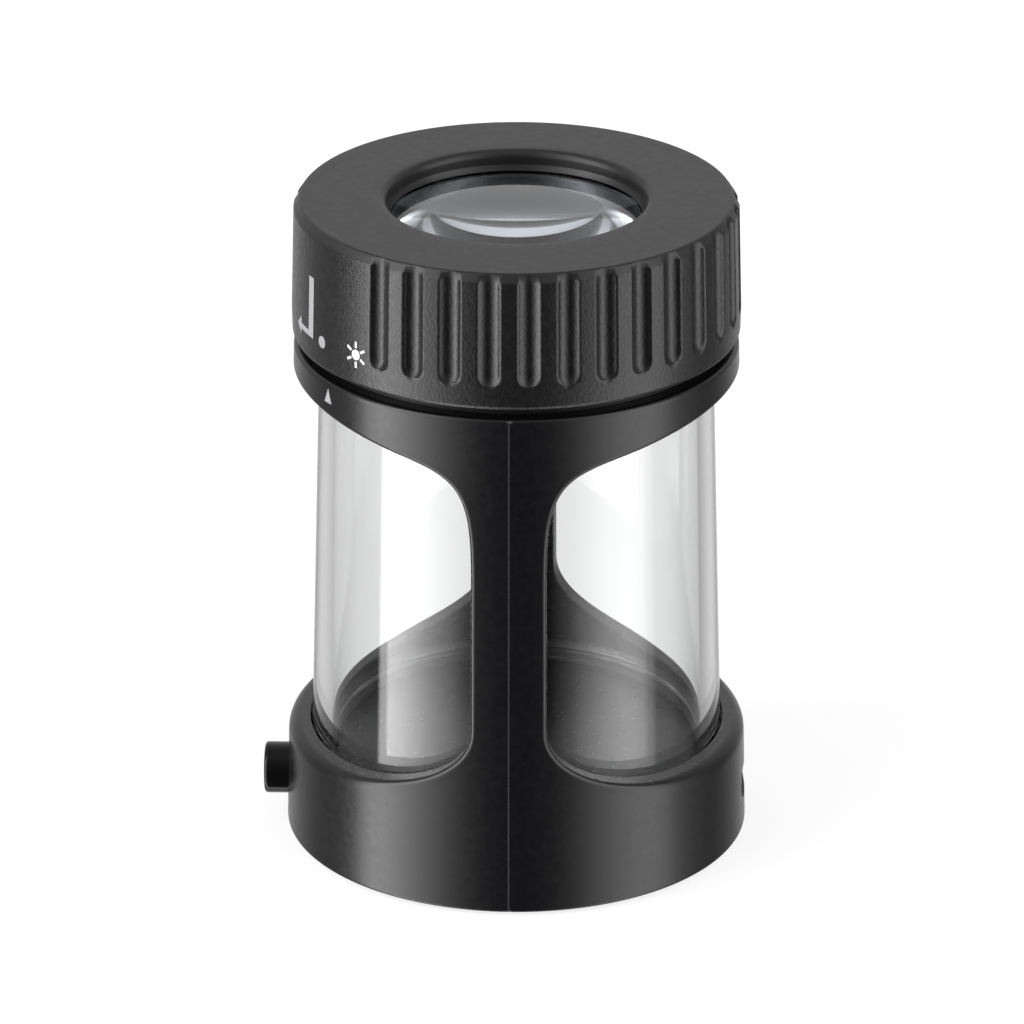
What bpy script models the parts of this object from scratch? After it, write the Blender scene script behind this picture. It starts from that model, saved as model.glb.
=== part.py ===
"""Magnifier viewing jar: a clear sleeve held in a two-part black cage, with a power button and a
charging socket in its base and a lit magnifier lid that turns and lifts off a bayonet neck.

Lengths below are millimetres and become metres in MM. +Z is up and the jar's axis is Z. Angles are
degrees around Z from the front (-Y) towards the right (+X)."""

import math

import bmesh
import bpy
from mathutils import Matrix, Vector

MM = 0.001
GAP = 0.3  # between touching pieces

# overall
BASE_R = 32.5  # cage radius at the table
CAGE_TAPER = 0.0246  # radius lost per mm of height
CAGE_BOTTOM = 0.3
CAGE_TOP = 73.0
LID_BOTTOM = 74.4
LID_TOP = 93.62
SEAM = 0.06  # half the gap between the two cage halves
BIG = 56  # facets round the large turned pieces
SMALL = 40  # facets round the lens and the boards
INNER_RING = 30  # facets round the hidden rings

# clear sleeve
SLEEVE_BOTTOM, SLEEVE_TOP = 13.5, 70.2
SLEEVE_R0, SLEEVE_TAPER = 29.245, 0.0286  # outer radius at z = 0 and its loss per mm
SLEEVE_WALL_LOW, SLEEVE_WALL_HIGH = 2.7, 2.2

# windows in the cage
POST_HALF = 9.6  # half the width of the front and back posts
WINDOW_SPAN = 90.0 - POST_HALF
SIDE_TOP, TOP_FALL, TOP_CORNER_H, TOP_CORNER_W, TOP_CORNER_N = 69.0, 5.2, 16.4, 20.8, 2.64
SIDE_LOW, LOW_RISE, LOW_CORNER_H, LOW_CORNER_W, LOW_CORNER_N = 16.44, 0.22, 10.12, 41.6, 1.81

# base
CAVITY_R = 29.3
LEDGE_R, LEDGE_LOW, LEDGE_HIGH = 27.6, 9.4, 10.3
DECK_LOW, DECK_HIGH = 10.6, 12.0
SCREW_CIRCLE, BOSS_R = 25.6, 3.0
BUTTON_Z, BUTTON_R, BUTTON_TIP = 6.6, 3.65, 35.8
PORT_Z, PORT_W, PORT_H = 6.75, 10.2, 4.6
BOARD_LOW, BOARD_HIGH, BOARD_R = 3.4, 4.85, 22.2

# bayonet neck and lid
NECK_R, NECK_BORE, NECK_TOP = 28.4, 25.4, 82.0
LUG_R, LUG_LOW, LUG_HIGH, LUG_HALF = 27.6, 76.4, 78.4, 5.1
SLOT_R, SLOT_LOW, SLOT_HIGH, SLOT_SIDE = 27.3, 76.1, 78.75, 0.8
TURN_BACK, TURN_ON = 2.4, -11.8  # lid's turn to the open mark and to the light mark
LID_BORE = 28.8
OPENING_R = 17.75
LENS_R, LENS_EDGE_LOW, LENS_EDGE_HIGH = 19.4, 89.15, 90.16
LENS_CURVE_LOW, LENS_CURVE_TOP = 100.0, 84.0
FLUTE_PITCH, FLUTE_PHASE, FLUTE_R, FLUTE_OUT = 10.0, 4.7, 1.875, 1.125
FLUTE_LOW, FLUTE_HIGH = 77.7, 93.0
PLAIN_FROM, PLAIN_TO = 271.0, 320.0  # the panel without flutes


def clear_scene():
    for obj in list(bpy.data.objects):
        bpy.data.objects.remove(obj, do_unlink=True)
    for coll in list(bpy.data.collections):
        bpy.data.collections.remove(coll)


clear_scene()
PART = bpy.data.collections.new("magnifier_viewing_jar")
CUTTERS = bpy.data.collections.new("cutters")
bpy.context.scene.collection.children.link(PART)
bpy.context.scene.collection.children.link(CUTTERS)


def material(name, color, roughness=0.5, metallic=0.0, transmission=0.0):
    mat = bpy.data.materials.new(name)
    mat.use_nodes = True
    shader = mat.node_tree.nodes["Principled BSDF"]
    shader.inputs["Base Color"].default_value = (*color, 1.0)
    shader.inputs["Roughness"].default_value = roughness
    shader.inputs["Metallic"].default_value = metallic
    shader.inputs["Transmission Weight"].default_value = transmission
    mat.diffuse_color = (*color, 1.0)
    return mat


def place(name, mesh, mat=None, cutter=False):
    obj = bpy.data.objects.new(name, mesh)
    if cutter:
        CUTTERS.objects.link(obj)
        obj.hide_render = True
        obj.display_type = "WIRE"
    else:
        PART.objects.link(obj)
        obj.data.materials.append(mat)
    return obj


def around(angle, radius, z=0.0):
    """Point at an angle from the front, in metres."""
    a = math.radians(angle)
    return Vector((radius * math.sin(a), -radius * math.cos(a), z)) * MM


def turned(name, profile, mat=None, steps=BIG, cutter=False, closed=True):
    """Profile of (radius, z) in mm, down the outer side and up the inner side, turned about Z."""
    mesh = bpy.data.meshes.new(name)
    points = [(r * MM, 0.0, z * MM) for r, z in profile]
    count = len(points)
    edges = [(i, i + 1) for i in range(count - 1)]
    if closed:
        edges.append((count - 1, 0))
    mesh.from_pydata(points, edges, [])
    obj = place(name, mesh, mat, cutter)
    screw = obj.modifiers.new("turn", "SCREW")
    screw.axis = "Z"
    screw.angle = 2 * math.pi
    screw.steps = screw.render_steps = steps
    screw.use_merge_vertices = True
    screw.merge_threshold = 0.00001
    screw.use_smooth_shade = True
    return obj


def solid_bmesh(name, bm, mat, cutter, smooth=True):
    mesh = bpy.data.meshes.new(name)
    bm.to_mesh(mesh)
    bm.free()
    if smooth:
        mesh.shade_smooth()
        mesh.set_sharp_from_angle(angle=math.radians(35))
    return place(name, mesh, mat, cutter)


def box(name, low, high, mat=None, cutter=False):
    bm = bmesh.new()
    bmesh.ops.create_cube(bm, size=1.0)
    for v in bm.verts:
        v.co = Vector([(low[i] + (v.co[i] + 0.5) * (high[i] - low[i])) * MM for i in range(3)])
    return solid_bmesh(name, bm, mat, cutter, smooth=False)


def rod(name, radius, start, end, mat=None, segments=20, cutter=False, spin=0.0):
    """Cylinder between two points in mm."""
    a, b = Vector(start) * MM, Vector(end) * MM
    bm = bmesh.new()
    bmesh.ops.create_cone(
        bm, cap_ends=True, segments=segments, radius1=radius * MM, radius2=radius * MM,
        depth=(b - a).length, matrix=Matrix.Rotation(math.radians(spin), 4, "Z"),
    )
    turn = (b - a).to_track_quat("Z", "Y").to_matrix().to_4x4()
    bmesh.ops.transform(bm, matrix=Matrix.Translation((a + b) / 2) @ turn, verts=bm.verts)
    return solid_bmesh(name, bm, mat, cutter)


def sector(name, r_in, r_out, z_low, z_high, angle_from, angle_to, mat=None, cuts=4, cutter=False):
    """Block bent round Z. z_low and z_high may be functions of the angle."""
    low = z_low if callable(z_low) else (lambda angle: z_low)
    high = z_high if callable(z_high) else (lambda angle: z_high)
    where = angle_from if callable(angle_from) else (
        lambda u: angle_from + u * (angle_to - angle_from)
    )
    bm = bmesh.new()
    bmesh.ops.create_cube(bm, size=1.0)
    along = [e for e in bm.edges if abs(e.verts[0].co.x - e.verts[1].co.x) > 0.5]
    bmesh.ops.subdivide_edges(bm, edges=along, cuts=cuts, use_grid_fill=True)
    for v in bm.verts:
        angle = where(v.co.x + 0.5)
        radius = r_in + (v.co.y + 0.5) * (r_out - r_in)
        z = low(angle) + (v.co.z + 0.5) * (high(angle) - low(angle))
        v.co = around(angle, radius, z)
    bmesh.ops.reverse_faces(bm, faces=bm.faces)  # the bend mirrors the cube
    return solid_bmesh(name, bm, mat, cutter)


def combine_all(obj, others, operation="DIFFERENCE"):
    """One Boolean with several cutters, gathered in a collection of their own."""
    group = bpy.data.collections.new(f"{operation.lower()}_{obj.name}")
    CUTTERS.children.link(group)
    for other in others:
        CUTTERS.objects.unlink(other)
        group.objects.link(other)
    boolean = obj.modifiers.new(operation.lower(), "BOOLEAN")
    boolean.operation = operation
    boolean.solver = "EXACT"
    boolean.operand_type = "COLLECTION"
    boolean.collection = group
    return obj


def combine(obj, other, operation="DIFFERENCE"):
    boolean = obj.modifiers.new(f"{operation.lower()} {other.name}", "BOOLEAN")
    boolean.operation = operation
    boolean.solver = "EXACT"
    boolean.object = other
    return obj


def fixed_mesh(obj):
    """Replaces an object's mesh by its evaluated one, so that copies can share it."""
    graph = bpy.context.evaluated_depsgraph_get()
    mesh = bpy.data.meshes.new_from_object(obj.evaluated_get(graph))
    obj.modifiers.clear()
    obj.data = mesh
    return obj


def cage_r(z):
    return BASE_R - CAGE_TAPER * z


def sleeve_r(z):
    return SLEEVE_R0 - SLEEVE_TAPER * z


def post_distance(angle):
    """Degrees from the edge of the nearer post, 0 to WINDOW_SPAN."""
    from_post = abs((angle + 90.0) % 180.0 - 90.0)
    return min(max(from_post - POST_HALF, 0.0), WINDOW_SPAN)


def corner(distance, width, height, power):
    u = min(distance / width, 1.0)
    return height * (1.0 - u ** (1.0 / power)) ** power


def window_top(angle):
    d = post_distance(angle)
    return SIDE_TOP - TOP_FALL * (1 - d / WINDOW_SPAN) ** 2 - corner(
        d, TOP_CORNER_W, TOP_CORNER_H, TOP_CORNER_N)


def window_low(angle):
    d = post_distance(angle)
    return SIDE_LOW + LOW_RISE * (1 - d / WINDOW_SPAN) ** 2 + corner(
        d, LOW_CORNER_W, LOW_CORNER_H, LOW_CORNER_N)


# materials
CAGE = material("cage_black", (0.012, 0.012, 0.014), 0.38)
LID = material("lid_black", (0.02, 0.02, 0.022), 0.5)
CLEAR = material("clear_sleeve", (0.95, 0.96, 0.97), 0.03, 0.0, 1.0)
GLASS = material("lens_clear", (0.97, 0.98, 0.98), 0.02, 0.0, 1.0)
FROST = material("frosted_window", (0.85, 0.86, 0.86), 0.4, 0.0, 0.8)
GLOSS = material("button_black", (0.008, 0.008, 0.009), 0.18)
INNER = material("inner_black", (0.015, 0.015, 0.016), 0.5)
SEAL = material("seal_rubber", (0.03, 0.03, 0.03), 0.7)
FOOT = material("foot_rubber", (0.02, 0.02, 0.02), 0.85)
STEEL = material("screw_steel", (0.5, 0.5, 0.5), 0.3, 1.0)
BOARD = material("board_green", (0.01, 0.12, 0.05), 0.4)
LEDBOARD = material("led_board_white", (0.8, 0.8, 0.8), 0.5)
LED = material("led_yellow", (0.9, 0.75, 0.3), 0.4)
CELL = material("battery_foil", (0.6, 0.6, 0.62), 0.3, 0.8)
SOCKET = material("socket_steel", (0.6, 0.6, 0.6), 0.25, 1.0)
BRASS = material("contact_brass", (0.75, 0.55, 0.25), 0.3, 1.0)
RED = material("wire_red", (0.5, 0.02, 0.02), 0.4)
BLACK = material("wire_black", (0.01, 0.01, 0.01), 0.4)

# cage: one turned ring, opened by two windows and split down the posts
RING_PROFILE = [
    (cage_r(CAGE_TOP) - 0.6, CAGE_TOP), (cage_r(72.4), 72.4), (cage_r(0.9), 0.9),
    (cage_r(CAGE_BOTTOM) - 0.6, CAGE_BOTTOM),
    (CAVITY_R, CAGE_BOTTOM), (CAVITY_R, LEDGE_LOW), (LEDGE_R, LEDGE_LOW), (LEDGE_R, LEDGE_HIGH),
    (CAVITY_R, LEDGE_HIGH), (CAVITY_R, 13.1), (sleeve_r(13.3) + 0.25, 13.3),
    (sleeve_r(69.0) + 0.25, 69.0), (29.5, 69.0), (29.5, 70.6), (28.7, 70.6), (28.7, CAGE_TOP),
]


def wire_duct(name):
    """Closed towards the sleeve, and leaning in with the post."""
    duct = box(f"cut_{name}_duct", (-1.1, 28.3, 12.8), (1.1, 30.4, 69.3), cutter=True)
    for v in duct.data.vertices:
        lean = (v.co.z / MM - 12.8) * -0.017
        v.co.y = ((30.4 if v.co.y / MM > 29.0 else 29.25) + lean) * MM
    return duct


for side, name, low_x in ((1, "right", 90.0), (-1, "left", 270.0)):
    half = turned(f"cage_half_{name}", RING_PROFILE, CAGE)
    adds, cuts = [], []
    cuts.append(box(f"cut_{name}_other_side", *(
        ((-50, -50, -10), (SEAM, 50, 110)) if side > 0 else ((-SEAM, -50, -10), (50, 50, 110))
    ), cutter=True))
    cuts.append(sector(
        f"cut_{name}_window", 24.0, 38.0, window_low, window_top,
        lambda u, low_x=low_x: low_x + WINDOW_SPAN * math.copysign(
            1 - (1 - abs(2 * u - 1)) ** 1.8, 2 * u - 1),
        0, cuts=27, cutter=True,
    ))
    for angle in ((45, 135) if side > 0 else (225, 315)):
        foot = around(angle, SCREW_CIRCLE) / MM
        adds.append(rod(f"add_boss_{angle}", BOSS_R, (foot.x, foot.y, 2.9),
                        (foot.x, foot.y, 9.9), segments=20, cutter=True, spin=7))
        adds.append(sector(f"add_web_{angle}", SCREW_CIRCLE + 1.7, 30.5, 3.1, 9.7, angle - 2.5,
                           angle + 2.5, cuts=1, cutter=True))
        cuts.append(rod(f"cut_boss_{angle}", 1.4, (foot.x, foot.y, 2.0), (foot.x, foot.y, 8.9),
                        segments=12, cutter=True))
    for z in (36.0, 58.0):
        y = -(cage_r(z) + sleeve_r(z) + 0.25) / 2
        cuts.append(rod(f"cut_{name}_peg_{int(z)}", 1.3, (side * -1, y, z), (side * 2.8, y, z),
                        segments=12, cutter=True))
    cuts += [wire_duct(name), box(f"cut_{name}_duct_mouth", (-1.1, 27.0, 6.4), (1.1, 30.4, 13.0),
                                  cutter=True)]
    if side > 0:
        cuts.append(box("cut_port", (27, -PORT_W / 2 + PORT_H / 2, PORT_Z - PORT_H / 2),
                        (40, PORT_W / 2 - PORT_H / 2, PORT_Z + PORT_H / 2), cutter=True))
        for end in (-1, 1):
            y = end * (PORT_W - PORT_H) / 2
            cuts.append(rod(f"cut_port_{'front' if end < 0 else 'back'}", PORT_H / 2 + 0.002,
                            (27, y, PORT_Z), (40, y, PORT_Z), segments=16, cutter=True))
    else:
        cuts.append(rod("cut_button_hole", BUTTON_R + 0.3, (-40, 0, BUTTON_Z),
                        (-27, 0, BUTTON_Z), segments=28, cutter=True))
        cuts.append(box("cut_button_ledge", (-28.9, -5.3, 3.2), (-26, 5.3, 10.45), cutter=True))
    combine_all(half, adds, "UNION")
    combine_all(half, cuts)

for z, name in ((36.0, "lower"), (58.0, "upper")):
    y = -(cage_r(z) + sleeve_r(z) + 0.25) / 2
    rod(f"locating_peg_{name}", 1.0, (-2.5, y, z), (2.5, y, z), INNER, segments=12)

# clear sleeve and its two seals
turned("clear_sleeve", [
    (sleeve_r(SLEEVE_TOP), SLEEVE_TOP), (sleeve_r(SLEEVE_BOTTOM), SLEEVE_BOTTOM),
    (sleeve_r(SLEEVE_BOTTOM) - SLEEVE_WALL_LOW, SLEEVE_BOTTOM),
    (sleeve_r(SLEEVE_TOP) - SLEEVE_WALL_HIGH, SLEEVE_TOP),
], CLEAR)
turned("sleeve_bottom_seal", [(28.6, 13.2), (28.6, 12.3), (26.4, 12.3), (26.4, 13.2)], SEAL,
       steps=INNER_RING)
turned("sleeve_top_seal", [(27.0, 71.1), (27.0, 70.5), (25.4, 70.5), (25.4, 71.1)], SEAL,
       steps=INNER_RING)

# deck that closes the jar's floor
turned("base_deck", [(0, DECK_HIGH), (29.0, DECK_HIGH), (29.0, DECK_LOW), (0, DECK_LOW)],
       INNER, closed=False)

# bayonet neck
neck = turned("bayonet_neck", [
    (NECK_R, NECK_TOP), (NECK_R, 70.3), (29.2, 70.3), (29.2, 69.3), (27.5, 69.3), (27.5, 71.4),
    (NECK_BORE, 71.4), (NECK_BORE, NECK_TOP),
], LID)
for centre in (0, 120, 240):
    start = centre - LUG_HALF - SLOT_SIDE
    combine(neck, sector(f"cut_channel_{centre}", SLOT_R, 32, SLOT_LOW, 90, start,
                         centre + TURN_BACK + LUG_HALF + SLOT_SIDE, cuts=3, cutter=True))
    combine(neck, sector(f"cut_leg_{centre}", SLOT_R, 32, SLOT_LOW, SLOT_HIGH,
                         centre + TURN_ON - LUG_HALF - SLOT_SIDE, centre + 2.0, cuts=5,
                         cutter=True))
combine(neck, box("cut_wire_groove", (-1.3, 26.6, 60), (1.3, 31, 90), cutter=True))
for name, low, high in (("positive", 173.0, 178.8), ("negative", 181.2, 187.0)):
    sector(f"neck_contact_{name}", 26.8, 28.1, 82.3, 82.9, low, high, BRASS, cuts=1)

# bottom cover, foot and screws
cover = turned("bottom_cover", [
    (0, 2.6), (29.0, 2.6), (29.0, 0.6), (22.4, 0.6), (22.4, 1.5), (0, 1.5),
], INNER, closed=False)
turned("foot_pad", [(0, 1.2), (22.0, 1.2), (22.0, 0.0), (0, 0.0)], FOOT, closed=False)
screw_mesh = None
for number, angle in enumerate((45, 135, 225, 315), 1):
    at = around(angle, SCREW_CIRCLE) / MM
    combine(cover, rod(f"cut_cover_hole_{number}", 1.5, (at.x, at.y, 0), (at.x, at.y, 3),
                       segments=12, cutter=True))
    combine(cover, rod(f"cut_cover_head_{number}", 2.5, (at.x, at.y, 0), (at.x, at.y, 1.75),
                       segments=16, cutter=True))
    if screw_mesh is None:
        screw = turned("base_screw_1", [
            (0, 7.9), (1.1, 7.9), (1.1, 0.85), (2.2, 0.85), (2.2, 0.15), (0, 0.15),
        ], STEEL, steps=12, closed=False)
        for cut, low, high in (("a", (-1.3, -0.25, -0.2), (1.3, 0.25, 0.5)),
                               ("b", (-0.25, -1.3, -0.2), (0.25, 1.3, 0.5))):
            combine(screw, box(f"cut_screw_{cut}", low, high, cutter=True))
        bpy.context.view_layer.update()
        fixed_mesh(screw)
        screw_mesh = screw.data
    else:
        screw = bpy.data.objects.new(f"base_screw_{number}", screw_mesh)
        PART.objects.link(screw)
    screw.location = (at.x * MM, at.y * MM, 0.55 * MM)

# electronics in the base
board = turned("circuit_board", [
    (0, BOARD_HIGH), (BOARD_R, BOARD_HIGH), (BOARD_R, BOARD_LOW), (0, BOARD_LOW),
], BOARD, steps=SMALL, closed=False)
combine(board, box("add_board_tab", (15, -5.5, BOARD_LOW), (28.2, 5.5, BOARD_HIGH), cutter=True),
        "UNION")
box("battery_cell", (-14, -11, 5.2), (14, 11, 9.0), CELL)
usb = box("charging_socket", (22.0, -4.47, 5.15), (29.0, 4.47, 8.35), SOCKET)
bevel = usb.modifiers.new("round", "BEVEL")
bevel.width = 1.2 * MM
bevel.segments = 3
bevel.limit_method = "NONE"
bevel.affect = "EDGES"
for edge in usb.data.edges:  # only the four long edges are rounded
    a, b = (usb.data.vertices[i].co for i in edge.vertices)
    weight = 1.0 if abs(a.x - b.x) > 0.001 else 0.0
    attribute = usb.data.attributes.get("bevel_weight_edge") or usb.data.attributes.new(
        "bevel_weight_edge", "FLOAT", "EDGE")
    attribute.data[edge.index].value = weight
bevel.limit_method = "WEIGHT"
combine(usb, box("cut_socket_mouth", (22.8, -3.9, 5.65), (31, 3.9, 7.85), cutter=True))
combine(usb, box("add_socket_tongue", (22.4, -3.2, 6.4), (28.2, 3.2, 7.1), cutter=True), "UNION")
switch = box("switch_body", (-21.8, -3.0, 5.15), (-18.2, 3.0, 9.05), INNER)
combine(switch, rod("cut_switch", 1.2, (-24, 0, BUTTON_Z), (-17, 0, BUTTON_Z), segments=12,
                    cutter=True))


def wire(name, x, mat):
    """Lead from the board, up the back post and the neck, to the contact on the neck's rim."""
    route = [(x, 17.0, 5.5), (x, 22.0, 5.55), (x, 26.2, 5.9), (x, 28.6, 7.4), (x, 29.7, 9.6),
             (x, 29.85, 12.0), (x, 29.72, 16.0), (x, 29.3, 40.0), (x, 28.9, 66.5),
             (x, 28.75, 68.9), (x, 28.35, 69.9), (x, 27.9, 70.8), (x, 27.5, 72.0),
             (x, 27.4, 73.5), (x, 27.4, 81.9)]
    curve = bpy.data.curves.new(name, "CURVE")
    curve.dimensions = "3D"
    curve.bevel_depth = 0.35 * MM
    curve.bevel_resolution = 1
    curve.use_fill_caps = True
    spline = curve.splines.new("POLY")
    spline.points.add(len(route) - 1)
    for point, at in zip(spline.points, route):
        point.co = (*(Vector(at) * MM), 1.0)
    return place(name, curve, mat)


wire("wire_positive", 0.55, RED)
wire("wire_negative", -0.55, BLACK)

# power button: its origin is on the axis it slides along
BUTTON_X = -30.0
button = rod("power_button", BUTTON_R, (-29.9 - BUTTON_X, 0, 0),
             (-BUTTON_TIP - BUTTON_X, 0, 0), GLOSS, segments=28)
rim = button.modifiers.new("soft edge", "BEVEL")
rim.width = 0.45 * MM
rim.segments = 2
rim.angle_limit = math.radians(50)
for part in (
    rod("add_button_stem", 3.15, (-0.6, 0, 0), (2.0, 0, 0), segments=20, cutter=True),
    box("add_button_ears", (1.5, -4.7, -3.2), (2.5, 4.7, 3.0), cutter=True),
    rod("add_button_pin", 1.5, (1.8, 0, 0), (4.8, 0, 0), segments=12, cutter=True),
):
    part.location = (0, 0, 0)
    combine(button, part, "UNION")
plunger = rod("switch_plunger", 0.9, (5.1, 0, 0), (10.5, 0, 0), INNER, segments=12)

# lid
lid = turned("lid_cap", [
    (29.7, LID_TOP), (30.5, 92.4), (30.9, 78.0), (30.8, 75.1), (30.2, LID_BOTTOM),
    (LID_BORE, LID_BOTTOM), (LID_BORE, 91.4), (21.5, 91.4), (21.5, 84.6), (19.7, 84.6),
    (19.7, 90.9), (OPENING_R, 90.9), (OPENING_R, 92.8), (18.6, LID_TOP),
], LID, steps=72)
flutes = bmesh.new()
for number in range(36):
    angle = FLUTE_PHASE + number * FLUTE_PITCH
    if PLAIN_FROM < angle < PLAIN_TO:
        continue
    middle = around(angle, 30.9 + FLUTE_OUT)
    top_shift = around(angle, 30.5 + FLUTE_OUT) - middle
    height = (FLUTE_HIGH + 1.5 - FLUTE_LOW) * MM
    made = bmesh.ops.create_cone(
        flutes, cap_ends=True, segments=10, radius1=FLUTE_R * MM, radius2=FLUTE_R * MM,
        depth=height,
        matrix=Matrix.Translation((middle.x, middle.y, FLUTE_LOW * MM + height / 2))
        @ Matrix.Rotation(math.radians(angle + 18), 4, "Z"),
    )
    for v in made["verts"]:
        if v.co.z > 0.09:
            v.co += top_shift
        else:  # the lower end is rounded off towards the wall
            out = Vector((v.co.x, v.co.y)).length / MM - 30.9
            v.co.z += max(0.0, out + 0.75) * 0.4 * MM
combine(lid, solid_bmesh("cut_flutes", flutes, None, True))
for centre in (0, 120, 240):
    combine(lid, sector(f"add_lug_{centre}", LUG_R, 29.4, LUG_LOW, LUG_HIGH, centre - LUG_HALF,
                        centre + LUG_HALF, cuts=1, cutter=True), "UNION")


def lens_profile(steps=5):
    """Two shallow arcs, the upper one the stronger, that meet the edge land."""
    points = []
    top = math.sqrt(LENS_CURVE_TOP ** 2 - LENS_R ** 2)
    low = math.sqrt(LENS_CURVE_LOW ** 2 - LENS_R ** 2)
    for i in range(steps + 1):
        r = LENS_R * i / steps
        points.append((r, LENS_EDGE_HIGH + math.sqrt(LENS_CURVE_TOP ** 2 - r * r) - top))
    for i in range(steps, -1, -1):
        r = LENS_R * i / steps
        points.append((r, LENS_EDGE_LOW - math.sqrt(LENS_CURVE_LOW ** 2 - r * r) + low))
    return points


turned("magnifier_lens", lens_profile(), GLASS, steps=SMALL, closed=False)
turned("lens_retainer", [(19.4, 88.8), (19.4, 83.3), (16.7, 83.3), (16.7, 88.3), (18.2, 88.6)],
       INNER, steps=INNER_RING)
turned("led_board", [(28.4, 88.4), (28.4, 87.2), (21.8, 87.2), (21.8, 88.4)], LEDBOARD,
       steps=INNER_RING)
window = turned("light_window", [(28.4, 85.3), (28.4, 84.3), (21.8, 84.3), (21.8, 85.3)], FROST,
                steps=SMALL)
for number in range(6):
    angle = 30 + 60 * number
    sector(f"led_{number + 1}", 23.6, 26.4, 86.1, 86.9, angle - 3.4, angle + 3.4, LED, cuts=1)
for name, angle in (("positive", 175.9), ("negative", 184.1)):
    at = around(angle - TURN_ON, 27.2) / MM
    combine(window, rod(f"cut_window_{name}", 0.85, (at.x, at.y, 83), (at.x, at.y, 87),
                        segments=12, cutter=True))
    rod(f"lid_contact_{name}", 0.5, (at.x, at.y, 83.2), (at.x, at.y, 86.9), BRASS, segments=10)
turned("lid_gasket", [(26.2, 84.0), (26.2, 82.3), (25.5, 82.3), (25.5, 84.0)], SEAL, steps=INNER_RING)


# joints: every moving piece hangs from an empty on its axis
def axis_empty(name, location, children, parent=None):
    empty = bpy.data.objects.new(name, None)
    PART.objects.link(empty)
    empty.empty_display_size = 0.01
    empty.location = location
    if parent:
        empty.parent = parent
    for child in children:
        bpy.data.objects[child].parent = empty
    return empty


lift = axis_empty("lid_lift_axis", (0, 0, 0), ["lid_gasket"])
axis_empty("lid_turn_axis", (0, 0, 0), [
    "lid_cap", "magnifier_lens", "lens_retainer", "led_board", "light_window",
    "lid_contact_positive", "lid_contact_negative", *[f"led_{n}" for n in range(1, 7)],
], lift)
axis_empty("button_axis", (BUTTON_X * MM, 0, BUTTON_Z * MM), ["power_button", "switch_plunger"])
for obj in CUTTERS.objects:
    if obj.name.startswith("add_button"):
        obj.location = (BUTTON_X * MM, 0, BUTTON_Z * MM)
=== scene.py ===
import math

import bmesh
import bpy
import numpy as np
from mathutils import Matrix, Vector


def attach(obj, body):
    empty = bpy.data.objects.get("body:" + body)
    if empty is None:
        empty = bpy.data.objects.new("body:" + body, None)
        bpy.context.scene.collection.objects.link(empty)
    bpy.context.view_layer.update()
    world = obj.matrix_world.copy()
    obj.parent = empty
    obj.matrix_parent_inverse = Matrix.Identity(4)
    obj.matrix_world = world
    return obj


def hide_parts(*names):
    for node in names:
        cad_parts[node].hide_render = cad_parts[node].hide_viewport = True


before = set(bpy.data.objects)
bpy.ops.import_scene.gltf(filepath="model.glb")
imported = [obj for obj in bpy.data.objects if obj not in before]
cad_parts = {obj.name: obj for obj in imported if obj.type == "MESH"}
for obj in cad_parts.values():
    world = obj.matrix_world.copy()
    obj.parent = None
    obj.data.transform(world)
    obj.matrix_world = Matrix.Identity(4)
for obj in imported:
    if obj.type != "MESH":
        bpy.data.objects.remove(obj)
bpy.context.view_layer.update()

MM = 0.001

# ---------------------------------------------------------------- dimensions, in mm, as in the CAD
BASE_R, CAGE_TAPER, CAGE_BOTTOM, CAGE_TOP = 32.49, 0.0246, 0.3, 73.0
SLEEVE_BOTTOM, SLEEVE_TOP, SLEEVE_R0, SLEEVE_TAPER = 13.5, 70.2, 29.245, 0.0286
POST_HALF = 9.6
WINDOW_SPAN = 90.0 - POST_HALF
LID_BOTTOM, LID_TOP, LID_BORE = 74.4, 93.62, 28.8
OPENING_R = 17.75
FLUTE_PITCH, FLUTE_PHASE = 10.0, 5.1
BUTTON_Z, BUTTON_R, BUTTON_TIP = 6.6, 3.65, 35.8
PORT_Z, PORT_W, PORT_H = 6.75, 10.2, 4.6


def cage_r(z):
    return BASE_R - CAGE_TAPER * z


def sleeve_r(z):
    return SLEEVE_R0 - SLEEVE_TAPER * z


def around(angle, radius, z):
    a = np.radians(angle)
    return np.stack([radius * np.sin(a), -radius * np.cos(a), z + 0 * a], -1)


# ---------------------------------------------------------------- mesh helpers
def object_from(name, points, faces, mat, smooth=True, slots=None):
    """points in mm."""
    mesh = bpy.data.meshes.new(name)
    mesh.from_pydata((np.asarray(points, float) * MM).tolist(), [], [list(map(int, f)) for f in faces])
    mesh.update()
    mats = mat if isinstance(mat, (list, tuple)) else [mat]
    for m in mats:
        mesh.materials.append(m)
    if slots is not None:
        mesh.polygons.foreach_set("material_index", np.asarray(slots, np.int32))
    if smooth:
        mesh.shade_smooth()
    obj = bpy.data.objects.new(name, mesh)
    bpy.context.scene.collection.objects.link(obj)
    return obj


def grid_faces(rows, cols, wrap_rows=False, wrap_cols=False, start=0, flip=False):
    i = np.arange(rows if wrap_rows else rows - 1)[:, None]
    j = np.arange(cols if wrap_cols else cols - 1)[None, :]
    i2, j2 = (i + 1) % rows, (j + 1) % cols
    q = np.stack([i * cols + j, i * cols + j2, i2 * cols + j2, i2 * cols + j], -1).reshape(-1, 4) + start
    return q[:, ::-1] if flip else q


def outward(obj):
    bm = bmesh.new()
    bm.from_mesh(obj.data)
    if bm.calc_volume(signed=True) < 0:
        bmesh.ops.reverse_faces(bm, faces=bm.faces)
    bm.to_mesh(obj.data)
    bm.free()
    return obj


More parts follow.
